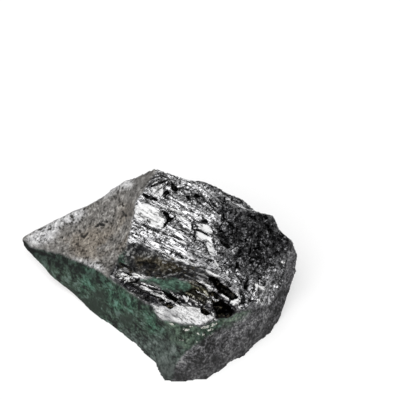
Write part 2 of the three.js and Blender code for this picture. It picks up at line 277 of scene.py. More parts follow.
# Open cracks and dark seams: width in pixels, depth in mm, then paths
CRACKS = [
    # terrace
    (2.4, 0.5, "120,264 126,267 132,270", "130,282 136,281 139,278", "180,272 187,274 195,277"),
    (2.2, 0.5, "128,274 131,275"),
    (1.8, 0.8, "226,282 229,285 231,287"),
    (1.5, 0.4, "142,294 148,297 153,301"),
    (1.3, 0.4, "200,295 203,302 204,307", "207,297 210,303 212,309"),
    (1.2, 0.3, "190,300 192,303 193,306", "140,284 150,287 160,291"),
    (1.8, 0.5, "196,267 201,268 206,269"),
    (1.4, 0.4, "178,277 190,279 200,284 209,291"),
    # cleavage
    (1.4, 0.4, "168,220 171,222 173,225", "162,253 166,255 170,258", "149,219 153,220"),
    (1.6, 0.6, "194,220 192,225 193,230"),
    (2.2, 0.7, "193,230 198,230 203,232 209,236"),
    (1.7, 0.6, "195,231 194,236 196,241"),
    (1.7, 0.5, "210,225 214,231 212,236"),
    (1.8, 0.5, "197,241 203,242 206,248 210,257", "211,236 214,241 216,249",
               "160,231 168,235 176,237 183,241", "155,238 159,240 162,242"),
    (1.2, 0.3, "143,220 149,226 157,229 163,229", "140,236 147,241 153,246", "149,245 157,250 163,252",
               "164,248 172,252 178,257", "131,229 137,234 144,240", "180,258 190,263 199,266"),
    (1.1, 0.3, "138,205 146,203 156,207 161,211", "138,213 144,217 149,221", "176,238 184,240 190,245",
               "163,236 170,242 178,247", "160,243 168,248 176,251"),
    (2.4, 0.5, "141,224 144,225 147,227"),
    (2.0, 0.5, "146,220 149,222 151,222"),
    (1.6, 0.4, "136,222 138,224 141,227"),
    (1.6, 0.5, "151,228 155,230 159,231"),
    (1.3, 0.3, "174,222 179,221 186,222", "177,224 181,225 183,228", "194,223 197,225 198,228",
               "184,246 187,251", "189,250 197,252 204,257 212,260"),
    (1.3, 0.4, "189,233 190,237 193,241", "186,238 188,241"),
    (1.5, 0.4, "191,240 195,244 199,248"),
    (2.2, 0.5, "208,259 213,261"),
    # strands that fan out from the crown
    (1.8, 0.4, "160,170 168,173 176,177 184,181", "149,180 155,177 162,176 167,178",
               "204,206 211,209 218,211", "208,198 214,204 219,209"),
    (1.6, 0.4, "154,175 160,173 168,176 177,180", "146,188 150,184 156,181 163,179",
               "140,189 143,187 146,184", "176,186 180,183 181,180"),
    (2.2, 0.5, "151,187 157,184 163,182 168,180"),
    (1.5, 0.4, "153,196 158,190 165,186 170,183"),
    (2.6, 0.5, "143,194 147,197 151,198 157,200"),
    (2.0, 0.4, "145,202 149,203"),
    (1.8, 0.5, "163,195 166,198 170,199", "176,190 181,188 184,187"),
    (1.4, 0.4, "190,184 198,191 206,199 214,208 220,214", "187,187 193,197 201,205 211,211 218,216",
               "182,190 188,199 196,206 206,211", "178,196 188,204 198,210 212,217"),
    (1.3, 0.3, "168,201 178,207 190,211 202,215", "152,203 158,206 166,208 178,213"),
    # shoulder
    (4.0, 0.8, "221,241 226,245 230,248"),
    (1.6, 0.4, "236,274 240,279 246,284", "241,290 244,294 246,299"),
    # matt surfaces
    (5.0, 0.3, "20,241 24,244 28,248"),
    (3.0, 0.3, "26,247 32,250 44,254 56,258"),
    (3.0, 0.5, "95,227 99,224 105,225"),
    (2.0, 0.3, "99,221 104,221 108,222", "106,267 109,267", "246,325 249,325", "227,347 229,349"),
    (2.6, 0.4, "80,235 84,237 88,232", "79,229 80,233", "75,243 77,244"),
    (2.4, 0.4, "122,210 124,214 127,217"),
    (1.4, 0.3, "110,197 116,196"),
    (1.6, 0.3, "122,213 126,217", "240,334 244,333"),
    (1.6, 0.35, "104,288 109,289 116,291"),
    (1.2, 0.25, "133,322 138,327 143,332", "138,319 142,322 146,326", "176,333 181,338 186,344"),
    (1.8, 0.3, "235,336 237,339 241,338", "261,316 263,317", "200,370 206,368 212,368"),
    (1.6, 0.25, "214,344 216,346", "231,324 233,325", "203,341 205,342"),
]
# What the material reads from each point of the mesh
ATTRIBUTES = ["dull", "laths", "back", "depth", "crack", "crack_gap", "blade_gap", "lath_gap"]
ATTRIBUTES += [*OUTLINES, *TINTS]


# ---- noise on points in mm

def cell_random(cells, salt):
    """A repeatable random number from 0 to 1 for each whole-number cell."""
    c = cells.astype(np.int64)
    h = (c[:, 0] * 73856093) ^ (c[:, 1] * 19349663) ^ (c[:, 2] * 83492791) ^ (salt * 3266489917)
    h &= 0xFFFFFFFF
    for shift, factor in ((16, 0x7FEB352D), (15, 0x846CA68B)):
        h ^= h >> shift
        h = (h * factor) & 0xFFFFFFFF
    return (h ^ (h >> 16)) / 4294967296.0


def swells(points, size, salt=0):
    """Smooth noise from -1 to 1, about `size` across."""
    place = points / size
    base = np.floor(place)
    t = place - base
    t = t * t * (3 - 2 * t)
    total = np.zeros(len(points))
    for corner in range(8):
        step = np.array((corner & 1, corner >> 1 & 1, corner >> 2 & 1))
        weight = np.prod(np.where(step == 1, t, 1 - t), axis=1)
        total += weight * cell_random(base + step, salt)
    return 2 * total - 1


def cloud(points, size, salt=0, octaves=3):
    """Several sizes of swell, each half as big as the one before."""
    return sum(swells(points, size / 2**k, salt + k) / 2**k for k in range(octaves))


def drift(points, size, salt, octaves):
    """A smooth push across the picture for each point, about 1 long."""
    return np.stack((cloud(points, size, salt, octaves), cloud(points, size, salt + 10, octaves)), axis=1)


def stretched(points, along, stretch):
    """Points squeezed along a direction, so that what is drawn on them comes out stretched."""
    return points + np.outer(points @ along, along) * (1 / stretch - 1)


def plates(points, size, salt=0):
    """Tilted plates: (height from about -1 to 1, distance to the plate's edge as a share of its size)."""
    place = points / size
    base = np.floor(place)
    nearest = np.full(len(points), 9.0)
    second = np.full(len(points), 9.0)
    own_cell = np.zeros_like(points)
    own_offset = np.zeros_like(points)
    for step in np.ndindex(3, 3, 3):
        cell = base + np.array(step[::-1]) - 1
        seed = np.stack([cell_random(cell, salt + 200 * axis) for axis in range(3)], axis=1)
        offset = place - cell - seed
        distance = np.sqrt(np.sum(offset * offset, axis=1))
        closer = distance < nearest
        second = np.where(closer, nearest, np.minimum(second, distance))
        own_cell[closer] = cell[closer]
        own_offset[closer] = offset[closer]
        nearest = np.minimum(nearest, distance)
    tilt = np.stack([2 * cell_random(own_cell, salt + 50 + 200 * axis) - 1 for axis in range(3)], axis=1)
    height = 1.4 * np.sum(tilt * own_offset, axis=1) + 0.5 * tilt[:, 0]
    return height, second - nearest


def ramp(value, low, high):
    """0 below low and 1 above high, with a smooth rise between."""
    t = np.clip((value - low) / (high - low), 0, 1)
    return t * t * (3 - 2 * t)


# ---- the camera's view of a point

def camera_axes():
    """The camera's right, up and forward directions."""
    tilt = math.radians(CAMERA_TILT)
    right = np.array((1.0, 0.0, 0.0))
    up = np.array((0.0, math.sin(tilt), math.cos(tilt)))
    ahead = np.array((0.0, math.cos(tilt), -math.sin(tilt)))
    return right, up, ahead


def pixels_of(points):
    """Where the camera sees points given in mm, in pixels from the picture's top left."""
    right, up, ahead = camera_axes()
    ray = points - np.array(CAMERA_PLACE)
    scale = LENS / SENSOR * IMAGE / (ray @ ahead)
    return np.stack((IMAGE / 2 + ray @ right * scale, IMAGE / 2 - ray @ up * scale), axis=1)


def in_view(points, normals):
    """1 where the camera sees the surface and 0 where it faces away or lies behind something."""
    _, _, ahead = camera_axes()
    cells = (pixels_of(points) / VIEW_CELL).astype(int)
    cells = cells[:, 0] * IMAGE + cells[:, 1]
    depth = (points - np.array(CAMERA_PLACE)) @ ahead
    nearest = np.full(IMAGE * IMAGE, 1e9)
    np.minimum.at(nearest, cells, depth)
    behind = depth - nearest[cells]
    return ramp(-(normals @ ahead), -0.1, 0.12) * ramp(-behind, -9.0, -6.0)


def points_of(path):
    """The points of a path written as "x,y x,y"."""
    return np.array([point.split(",") for point in path.split()], dtype=float)


def outline_gap(pixels, outline):
    """Distance in pixels from an outline, less than 0 inside it."""
    corners = points_of(outline)
    distance = np.full(len(pixels), 1e9)
    within = np.zeros(len(pixels), dtype=bool)
    for a, b in zip(corners, np.roll(corners, -1, axis=0)):
        edge = b - a
        rel = pixels - a
        t = np.clip(rel @ edge / (edge @ edge), 0, 1)
        distance = np.minimum(distance, np.linalg.norm(rel - t[:, None] * edge, axis=1))
        crosses = (a[1] > pixels[:, 1]) != (b[1] > pixels[:, 1])
        height = np.where(edge[1] == 0, 1e-9, edge[1])
        within ^= crosses & (pixels[:, 0] < a[0] + (pixels[:, 1] - a[1]) * edge[0] / height)
    return np.where(within, -distance, distance)


def inside(pixels, outline, soft):
    """1 inside an outline and 0 outside, over a soft edge, in pixels."""
    return ramp(-outline_gap(pixels, outline), -soft, soft)


def line_gap(spots, width, path):
    """Distance in pixels from the edge of a line that tapers at its ends, less than 0 inside it."""
    lengths = np.linalg.norm(np.diff(path, axis=0), axis=1)
    starts = np.concatenate(((0.0,), np.cumsum(lengths)))
    distance = np.full(len(spots), 1e9)
    share = np.zeros(len(spots))
    for k, (a, b) in enumerate(zip(path[:-1], path[1:])):
        t = np.clip((spots - a) @ (b - a) / lengths[k] ** 2, 0, 1)
        off = np.linalg.norm(spots - a - t[:, None] * (b - a), axis=1)
        closer = off < distance
        distance = np.where(closer, off, distance)
        share = np.where(closer, (starts[k] + t * lengths[k]) / starts[-1], share)
    return distance - width / 2 * ramp(np.minimum(share, 1 - share), -0.12, 0.2)


def along_lines(pixels, lines):
    """(distance in pixels from the edge of the nearest line, height there in mm)"""
    gap = np.full(len(pixels), LINE_REACH)
    height = np.zeros(len(pixels))
    for width, high, *paths in lines:
        reach = width / 2 + LINE_REACH
        for path in map(points_of, paths):
            near = np.all((pixels > path.min(axis=0) - reach) & (pixels < path.max(axis=0) + reach), axis=1)
            edge = line_gap(pixels[near], width, path)
            gap[near] = np.minimum(gap[near], edge)
            height[near] = np.maximum(height[near], high * min(1, width / 3) * ramp(-edge, -0.5, 0.8))
    return gap, height


# ---- mesh tools on arrays

def unit(vectors):
    return vectors / np.maximum(np.linalg.norm(vectors, axis=1, keepdims=True), 1e-12)


def face_areas(points, faces):
    """A vector square to each face, as long as twice its area."""
    a, b, c = (points[faces[:, k]] for k in range(3))
    return np.cross(b - a, c - a)


def point_normals(points, faces):
    areas = face_areas(points, faces)
    total = np.zeros_like(points)
    for k in range(3):
        np.add.at(total, faces[:, k], areas)
    return unit(total)


def edges_of(faces, count):
    """(one row of two points for each edge, the three edges of each face)"""
    pairs = np.stack((faces, np.roll(faces, -1, axis=1)), axis=2).reshape(-1, 2)
    low, high = pairs.min(axis=1), pairs.max(axis=1)
    keys, edge_of_face = np.unique(low * np.int64(count) + high, return_inverse=True)
    return np.stack((keys // count, keys % count), axis=1), edge_of_face.reshape(-1, 3)


def relaxed(points, faces, rounds, share):
    """Points moved towards the mean of their neighbours, by a share that may differ from point to point."""
    edges, _ = edges_of(faces, len(points))
    degree = np.bincount(edges.ravel(), minlength=len(points)).astype(float)
    share = np.broadcast_to(share, len(points))[:, None]
    for _ in range(rounds):
        total = np.zeros_like(points)
        for axis in range(3):
            total[:, axis] = np.bincount(edges[:, 0], points[edges[:, 1], axis], len(points))
            total[:, axis] += np.bincount(edges[:, 1], points[edges[:, 0], axis], len(points))
        points = points + share * (total / degree[:, None] - points)
    return points


def planed(points, faces, rounds, crease):
    """Flattens small shards into their surroundings, and keeps the creases between large faces."""
    _, edge_of_face = edges_of(faces, len(points))
    owner = np.repeat(np.arange(len(faces)), 3)
    order = np.argsort(edge_of_face.ravel(), kind="stable")
    a, b = owner[order].reshape(-1, 2).T
    areas = face_areas(points, faces)
    size = np.linalg.norm(areas, axis=1)
    normals = unit(areas)
    for _ in range(rounds):
        weight = np.exp(-np.sum((normals[a] - normals[b]) ** 2, axis=1) / (2 * crease**2))
        total = normals * size[:, None]
        for axis in range(3):
            total[:, axis] += np.bincount(a, weight * size[b] * normals[b, axis], len(faces))
            total[:, axis] += np.bincount(b, weight * size[a] * normals[a, axis], len(faces))
        normals = unit(total)
    faces_at = np.bincount(faces.ravel(), minlength=len(points)).astype(float)
    for _ in range(rounds):
        middles = points[faces].mean(axis=1)
        move = np.zeros_like(points)
        for k in range(3):
            lift = np.sum((middles - points[faces[:, k]]) * normals, axis=1)
            for axis in range(3):
                move[:, axis] += np.bincount(faces[:, k], lift * normals[:, axis], len(points))
        points = points + move / faces_at[:, None]
    return points


def arrays_of(mesh):
    """(points in mm, triangles) of a mesh."""
    mesh.calc_loop_triangles()
    points = np.empty(len(mesh.vertices) * 3)
    mesh.vertices.foreach_get("co", points)
    faces = np.empty(len(mesh.loop_triangles) * 3, dtype=np.int32)
    mesh.loop_triangles.foreach_get("vertices", faces)
    return points.reshape(-1, 3) / MM, faces.reshape(-1, 3).astype(np.int64)


def mesh_of(name, points, faces):
    """A mesh of triangles, from points in mm."""
    mesh = bpy.data.meshes.new(name)
    mesh.vertices.add(len(points))
    mesh.vertices.foreach_set("co", (points * MM).ravel())
    mesh.loops.add(faces.size)
    mesh.loops.foreach_set("vertex_index", faces.ravel().astype(np.int32))
    mesh.polygons.add(len(faces))
    mesh.polygons.foreach_set("loop_start", np.arange(0, faces.size, 3, dtype=np.int32))
    mesh.update(calc_edges=True)
    mesh.validate()
    return mesh


def remeshed(points, faces, voxel):
    """The same form as an even mesh of small triangles."""
    rough = add_object("rough", mesh_of("rough", points, faces))
    modifier = rough.modifiers.new("voxels", "REMESH")
    modifier.mode = "VOXEL"
    modifier.voxel_size = voxel * MM
    even = rough.evaluated_get(bpy.context.evaluated_depsgraph_get())
    arrays = arrays_of(even.to_mesh())
    even.to_mesh_clear()
    bpy.data.objects.remove(rough)
    return arrays


def add_object(name, data):
    made = bpy.data.objects.new(name, data)
    bpy.context.scene.collection.objects.link(made)
    return made


# ---- surfaces

def surfaces_at(points, normals):
    """How far each surface, tint and mark reaches at each point, mostly from 0 to 1."""
    drawn = pixels_of(points)
    pixels = drawn + WANDER * drift(points, 3.0, 11, 3)
    close = drawn + FINE_WANDER * drift(points, 1.3, 13, 2)
    seen = in_view(points, normals)
    zones = {name: inside(pixels, outline, OUTLINE_SOFTNESS) * seen for name, outline in OUTLINES.items()}
    for name, (soft, *outlines) in TINTS.items():
        spots = pixels if soft > FIRM else close
        zones[name] = np.max([inside(spots, outline, soft) for outline in outlines], axis=0) * seen
    crack_gap, crack = along_lines(close, CRACKS)
    for depth, outline in GASHES:
        gap = outline_gap(close, outline)
        crack_gap = np.minimum(crack_gap, gap)
        crack = np.maximum(crack, depth * ramp(-gap, -0.5, 1.5))
    blade_gap, blade = along_lines(close, BLADES)
    zones["rounded"] = inside(pixels, ROUNDED, ROUNDED_SOFTNESS) * seen
    zones["crack"] = crack * seen
    zones["blade"] = blade * seen * (zones["crack"] < 0.1)
    zones["crack_gap"] = LINE_REACH + (crack_gap - LINE_REACH) * seen
    zones["blade_gap"] = LINE_REACH + (blade_gap - LINE_REACH) * seen

    # out of the camera's sight: the matt side goes on round the foot and the skin round the left end
    zones["back"] = 1 - seen
    foot = ramp(BACK_FOOT + 5.0 * cloud(points, 16.0, 51) - points[:, 2], -1.0, 1.0)
    ragged, _ = plates(points, 6.0, 63)
    left = BACK_SKIN + 0.7 * (15 - points[:, 2]) + 7.0 * cloud(points, 24.0, 61, 4) + 2.5 * ragged
    left = ramp(left - points[:, 0], -0.6, 0.6)
    flaked = ramp(cloud(points, 20.0, 71, 4), 0.05, 0.15)
    zones["matte"] = np.maximum(zones["matte"], foot * zones["back"])
    zones["cleavage"] = np.maximum(zones["cleavage"], flaked * (1 - foot) * zones["back"])
    zones["skin"] = np.maximum(zones["skin"], left * zones["back"])
    zones["dull"] = layered(zones, 0.0, {"matte": 1.0, "stain": 1.0, "skin": 1.0})
    zones["laths"] = layered(zones, 0.0, {"terrace": 1.0, "cleavage": 1.0, "lens": 1.0})
    return zones


def layered(zones, base, values):
    """A value laid down surface by surface, in the order of the outlines. Surfaces without one give 0."""
    total = base
    for name in OUTLINES:
        total = total + (values.get(name, 0.0) - total) * zones[name]
    return total


def relief_at(points, zones):
    """(height of the fine surface over the lump's form in mm, distance from the edges of the laths)"""
    big, big_edge = plates(points, 3.4, 1)
    middle, _ = plates(points, 1.6, 2)
    crystal = 0.42 * big + 0.2 * middle - 0.2 * ramp(-big_edge, -0.12, 0)
    slab, _ = plates(stretched(points, STREAK, 2.2), 5.5, 9)
    broken = 0.5 * slab + 0.25 * big + 0.08 * middle
    crystal = crystal + (broken - crystal) * zones["back"]
    bend = 1.2 * np.stack([swells(points, 14.0, 91 + axis) for axis in range(3)], axis=1)
    lath, lath_edge = plates(stretched(points + bend, STREAK, 6.0), 1.6, 4)
    fine_lath, _ = plates(stretched(points, STREAK, 7.0), 0.8, 5)
    blades, _ = plates(stretched(points, LEDGE_STREAK, 9.0), 1.5, 3)
    calm = 1 - 0.8 * zones["block"]
    grooves = cloud(stretched(points, WALL_GRAIN, 1.7), 2.6, 31)
    pits = ramp(swells(points, 1.2, 41), 0.4, 0.8)
    relief = layered(zones, crystal, {
        "matte": 0.14 * cloud(points, 3.5, 7) - 0.08 * pits,
        "terrace": 0.3 * blades + 0.06 * fine_lath,
        "cleavage": (0.13 * lath + 0.06 * fine_lath - 0.2 * ramp(-lath_edge, -0.08, 0)) * calm
                    + 0.5 * slab * zones["back"],
        "riser": 0.5 * big + 0.3 * middle,
        "lens": 0.03 * lath,
        "stain": 0.2 * grooves + 0.06 * cloud(points, 1.4, 8),
        "skin": 0.2 * cloud(points, 6.0, 6) - 0.06 * pits,
    })
    return relief + zones["blade"] - zones["crack"], lath_edge


def smoothed_form():
    """(points in mm, triangles) of the solid, with equal points joined and its smooth surfaces smoothed."""
    points, faces = arrays_of(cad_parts[NODE].data)
    coarse, joined = np.unique(np.round(points, 4), axis=0, return_inverse=True)
    faces = joined.reshape(-1)[faces]
    zones = surfaces_at(coarse, point_normals(coarse, faces))
    smooth = layered(zones, 0.0, {"matte": 1, "stain": 1, "skin": 1, "lens": 1, "cleavage": 0.8})
    share = np.clip(0.35 + smooth, 0, 1) * (coarse[:, 2] >= ON_FLOOR)
    move = (planed(coarse, faces, rounds=12, crease=0.35) - coarse) * share[:, None]
    length = np.maximum(np.linalg.norm(move, axis=1), 1e-9)
    return coarse + move * np.minimum(1, MOST_MOVED / length)[:, None], faces


def build_lump():
    """(points in mm, triangles, zones) of the finished surface."""
    points, faces = remeshed(*smoothed_form(), VOXEL)
    zones = surfaces_at(points, point_normals(points, faces))
    calm = zones["dull"] * ramp(points[:, 2], 0.0, 0.8)
    points = relaxed(points, faces, rounds=8, share=0.5 * calm)
    points = relaxed(points, faces, rounds=50, share=0.5 * calm * zones["rounded"])
    normals = unit(relaxed(point_normals(points, faces), faces, rounds=6, share=0.5))
    spread = relaxed(point_normals(points, faces), faces, rounds=12, share=0.5)
    sharpness = 1 - np.linalg.norm(spread, axis=1)
    lifted = ramp(points[:, 2], ON_FLOOR, 1.5) * (1 - 0.9 * ramp(sharpness, 0.03, 0.16))
    relief, zones["lath_gap"] = relief_at(points, zones)
    points = points + normals * (relief * lifted)[:, None]
    points[:, 2] = np.maximum(points[:, 2], 0)
    # how far each point lies down in a hollow; the material darkens hollows as painted shade
    hollow = relaxed(points, faces, rounds=14, share=0.5)
    zones["depth"] = np.clip(0.5 - np.sum((points - hollow) * normals, axis=1) / 0.8, 0, 1)
    return points, faces, zones


def add_lump(points, faces, zones):
    """The finished lump, with its matt surfaces shaded smooth and its crystal flat."""
    mesh = mesh_of("lump", points, faces)
    mesh.polygons.foreach_set("use_smooth", zones["dull"][faces].mean(axis=1) > 0.6)
    for name in ATTRIBUTES:
        mesh.attributes.new(name, "FLOAT", "POINT").data.foreach_set("value", zones[name].astype(np.float32))
    return add_object("lump", mesh)


# ---- materials

class Nodes:
    """Short calls for building a material's nodes. Without a place, textures lie on the object as it is."""

    def __init__(self, tree):
        self.tree = tree
        self.place = self.add("ShaderNodeTexCoord").outputs["Object"]

    def add(self, kind, inputs=None, **settings):
        node = self.tree.nodes.new(kind)
        for key, value in settings.items():
            setattr(node, key, value)
        for key, value in (inputs or {}).items():
            if isinstance(value, bpy.types.NodeSocket):
                self.tree.links.new(value, node.inputs[key])
            else:
                node.inputs[key].default_value = value
        return node

    def math(self, operation, *values, clamp=False):
        node = self.add("ShaderNodeMath", dict(enumerate(values)), operation=operation, use_clamp=clamp)
        return node.outputs[0]

    def times(self, a, b):
        return self.math("MULTIPLY", a, b)

    def most(self, *values):
        top = values[0]
        for value in values[1:]:
            top = self.math("MAXIMUM", top, value)
        return top

    def vector(self, operation, *values, scale=None):
        inputs = dict(enumerate(values))
        if scale is not None:
            inputs["Scale"] = scale
        return self.add("ShaderNodeVectorMath", inputs, operation=operation).outputs[0]

    def along(self, run, squeeze):
        """A place whose x runs along a direction and is squeezed."""
        turn = Vector(run).rotation_difference(Vector((1, 0, 0))).to_euler()
        turned = self.add("ShaderNodeMapping", {"Vector": self.place, "Rotation": turn}).outputs[0]
        return self.squeezed(turned, squeeze)

    def squeezed(self, place, squeeze):
        return self.vector("MULTIPLY", place, (squeeze, 1.0, 1.0))

    def mix(self, share, a, b):
        """Colour a, or b where share is 1."""
        return self.add("ShaderNodeMix", {0: share, 6: a, 7: b}, data_type="RGBA").outputs[2]

    def blend(self, share, a, b):
        """Number a, or b where share is 1."""
        return self.add("ShaderNodeMix", {0: share, 2: a, 3: b}).outputs[0]

    def choose(self, share, a, b):
        """Vector a, or b where share is 1."""
        return self.add("ShaderNodeMix", {0: share, 4: a, 5: b}, data_type="VECTOR").outputs[1]

    def ramp(self, value, *stops):
        """Colours by value: each stop is a position and a colour as rgb() takes it."""
        node = self.add("ShaderNodeValToRGB", {"Fac": value})
        elements = node.color_ramp.elements
        for position, *_ in stops[2:]:
            elements.new(position)
        for element, (position, *colour) in zip(elements, stops):
            element.position = position
            element.color = rgb(*colour)
        return node.outputs["Color"]

    def tone(self, *layers):
        """Noises laid over each other about a middle of 0.5: scale, strength and perhaps a place for each."""
        total = 0.5
        for scale, strength, *place in layers:
            level = self.noise(scale, 2.0, 0.6, *place)
            total = self.math("ADD", self.math("MULTIPLY_ADD", level, strength, -strength / 2), total)
        return total

    def attribute(self, name):
        return self.add("ShaderNodeAttribute", attribute_name=name).outputs["Fac"]

    def noise(self, scale, detail, roughness=0.55, place=None):
        inputs = {"Vector": place or self.place, "Scale": scale, "Detail": detail, "Roughness": roughness}
        return self.add("ShaderNodeTexNoise", inputs).outputs["Fac"]

    def step(self, value, low, high):
        """0 below low and 1 above high, with a smooth rise between."""
        inputs = {"Value": value, "From Min": low, "From Max": high}
        return self.add("ShaderNodeMapRange", inputs, interpolation_type="SMOOTHSTEP").outputs[0]

    def hairlines(self, scale, width, place=None):
        """Thin wandering lines, 1 on a line and 0 off it."""
        level = self.math("ABSOLUTE", self.math("SUBTRACT", self.noise(scale, 2.0, 0.6, place), 0.5))
        return self.step(level, width, 0.35 * width)

    def facets(self, size, salt, amount, place=None):
        """A push for each cell of a grain, which turns the surface there its own way. Size in mm."""
        offset = self.vector("ADD", place or self.place, (salt, 0.0, 0.0))
        cell = self.add("ShaderNodeTexVoronoi", {"Vector": offset, "Scale": 1 / (size * MM)})
        centred = self.vector("SUBTRACT", cell.outputs["Color"], (0.5, 0.5, 0.5))
        return self.vector("SCALE", centred, scale=amount)


def rgb(*levels):
    """A colour from its red, green and blue, or a grey from one level."""
    return (*levels, 1.0) if len(levels) == 3 else (*levels * 3, 1.0)


def facet_tilts(n, lath_place, zone, share):
    """How the crystal's facets turn the surface: grains, slabs at the back, or laths."""
    grains = n.vector("ADD", n.facets(1.7, 0.3, 0.6), n.facets(0.8, 0.7, 0.5))
    slabs = n.vector("ADD", n.facets(4.5, 0.3, 0.4), n.facets(1.4, 0.7, 0.2))
    thin_place = n.squeezed(lath_place, 0.5)
    laths = n.vector("ADD", n.facets(2.0, 0.3, 0.16, lath_place), n.facets(0.8, 0.7, 0.26, thin_place))
    tilt = n.choose(zone.laths, n.choose(zone.back, grains, slabs), laths)
    return n.vector("SCALE", tilt, scale=share)


def clean_metal(n, lath_place, thin_place, zone, fine):
    """Bright silicon without its dark seams: grainy crystal, streaked laths and even blocks."""
    streaks = n.tone((700.0, 0.9, thin_place), (1700.0, 1.1, lath_place), (1300.0, 0.6))
    grainy = n.mix(n.step(fine, 0.38, 0.55), rgb(0.07, 0.07, 0.072), rgb(0.3, 0.3, 0.31))
    streaked = n.ramp(streaks, (0.3, 0.04), (0.41, 0.2, 0.2, 0.202),
                      (0.52, 0.4, 0.4, 0.41), (0.66, 0.56, 0.56, 0.57))
    even = n.ramp(streaks, (0.28, 0.08), (0.39, 0.2), (0.48, 0.33), (0.7, 0.41))
    silvery = n.mix(n.step(fine, 0.4, 0.56), rgb(0.4, 0.4, 0.405), rgb(0.75, 0.75, 0.76))
    clean = n.mix(zone.laths, n.mix(zone.back, grainy, silvery), streaked)
    glints = n.step(n.noise(1150.0, 2.0, 0.8), 0.5, 0.57)
    clean = n.mix(n.times(glints, n.times(zone.crackle, 0.8)), clean, rgb(0.62, 0.62, 0.63))
    return n.mix(zone.flat, clean, even)


def dark_seams(n, lath_place, thin_place, zone):
    """1 on the dark seams, which run with the cleavage and gather in the crackled parts."""
    gathered = n.step(n.noise(170.0, 2.0, 0.6, lath_place), 0.5, 0.62)
    quiet = n.most(zone.flat, n.times(zone.bright_band, 0.8))
    density = n.times(n.most(gathered, n.times(zone.crackle, 0.75)), n.blend(quiet, 1.0, 0.1))
    density = n.most(density, n.times(n.blend(zone.laths, 0.7, 0.0), n.blend(zone.back, 1.0, 0.5)))
    thin = n.times(n.hairlines(800.0, 0.024, thin_place), n.blend(zone.flat, 0.85, 0.35))
    thick = n.times(n.hairlines(380.0, 0.026, lath_place), density)
    across = n.times(n.hairlines(620.0, 0.035), zone.crackle)
    strands = n.times(n.hairlines(300.0, 0.032, n.squeezed(lath_place, 2.0)), zone.crackle)
    speckled = n.most(zone.crackle, n.times(zone.lens, 0.6))
    specks = n.times(n.step(n.noise(1300.0, 2.0, 0.8), 0.54, 0.59), speckled)
    blots = n.times(n.step(n.noise(600.0, 3.0, 0.8, lath_place), 0.56, 0.59), density)
    edges = n.times(n.step(zone.lath_gap, 0.1, 0.03), n.times(density, zone.laths))
    return n.most(thin, thick, across, strands, blots, specks, edges)


def metal_colour(n, lath_place, zone):
    """Bright broken silicon with its seams, dim in the shade and chalky in places."""
    fine = n.noise(600.0, 3.0, 0.85)
    thin_place = n.squeezed(lath_place, 0.5)
    clean = clean_metal(n, lath_place, thin_place, zone, fine)
    seams = dark_seams(n, lath_place, thin_place, zone)
    colour = n.mix(n.times(seams, 0.85), clean, rgb(0.012))
    colour = n.mix(n.times(zone.dusky, 0.6), colour, rgb(0.07, 0.07, 0.072))
    # painted shadow of the left-out rear lump: the metal is made dim there
    dim = n.mix(n.step(fine, 0.48, 0.6), rgb(0.01, 0.01, 0.011), rgb(0.14, 0.14, 0.145))
    colour = n.mix(n.times(zone.shade, 0.93), colour, dim)
    colour = n.mix(n.times(zone.chalky, n.step(fine, 0.46, 0.52)), colour, rgb(0.47, 0.47, 0.48))
    grained = n.noise(900.0, 3.0, 0.7, lath_place)
    blade = n.mix(n.step(grained, 0.4, 0.5), rgb(0.1), rgb(0.34))
    return n.mix(zone.edge, colour, blade)


def crust_colour(n, zone):
    """The grey-brown skin: mottled, with warm places, pale places along its edges and small pits."""
    broad = n.noise(150.0, 3.0, 0.6)
    tone = n.tone((90.0, 0.5), (260.0, 0.8), (640.0, 1.0), (1300.0, 1.0))
    colour = n.ramp(tone, (0.22, 0.04, 0.038, 0.035), (0.42, 0.135, 0.128, 0.12),
                    (0.6, 0.205, 0.196, 0.185), (0.85, 0.42, 0.41, 0.39))
    warm = n.ramp(tone, (0.22, 0.043, 0.035, 0.028), (0.42, 0.147, 0.129, 0.108),
                  (0.6, 0.222, 0.196, 0.166), (0.85, 0.41, 0.375, 0.32))
    pale = n.ramp(tone, (0.25, 0.19, 0.19, 0.193), (0.42, 0.38, 0.38, 0.385),
                  (0.6, 0.57, 0.565, 0.57), (0.8, 0.82))
    colour = n.mix(n.times(zone.warm, n.step(broad, 0.36, 0.56)), colour, warm)
    colour = n.mix(n.times(zone.pale, n.step(tone, 0.2, 0.42)), colour, pale)
    # painted shade along some of the skin's edges
    colour = n.mix(n.times(zone.sooty, 0.5), colour, rgb(0.07, 0.068, 0.066))
    pits = n.times(n.step(n.noise(700.0, 1.0), 0.64, 0.68), n.step(broad, 0.5, 0.6))
    return n.mix(pits, colour, rgb(0.02, 0.018, 0.015))


def wall_colour(n, zone):
    """The green-stained side: bright in patches, with painted shade along its top under the skin's edge, and
    greyer towards the toe.
    """
    grained = n.along(WALL_GRAIN, 0.8)
    patches = n.noise(170.0, 4.0, 0.7)
    tone = n.tone((120.0, 0.8), (320.0, 1.4), (700.0, 1.1, grained), (1300.0, 0.9))
    colour = n.ramp(tone, (0.24, 0.005, 0.007, 0.006), (0.42, 0.021, 0.034, 0.0245),
                    (0.6, 0.038, 0.063, 0.044), (0.85, 0.1, 0.145, 0.125))
    strong = n.ramp(tone, (0.24, 0.006, 0.018, 0.012), (0.42, 0.025, 0.06, 0.038),
                    (0.6, 0.046, 0.11, 0.072), (0.85, 0.1, 0.2, 0.155))
    greyed = n.ramp(tone, (0.24, 0.016, 0.018, 0.017), (0.42, 0.047, 0.059, 0.053),
                    (0.6, 0.074, 0.092, 0.084), (0.85, 0.15, 0.17, 0.16))
    colour = n.mix(n.times(zone.bright_green, n.step(patches, 0.3, 0.54)), colour, strong)
    colour = n.mix(n.times(zone.greyed, 0.8), colour, greyed)
    colour = n.mix(n.times(zone.murky, n.step(patches, 0.36, 0.5)), colour, rgb(0.019, 0.028, 0.021))
    # painted shade along the wall's top, under the skin's edge
    shaded_green = n.mix(n.step(tone, 0.36, 0.62), rgb(0.004, 0.006, 0.005), rgb(0.024, 0.037, 0.03))
    return n.mix(n.times(zone.sooty, 0.85), colour, shaded_green)


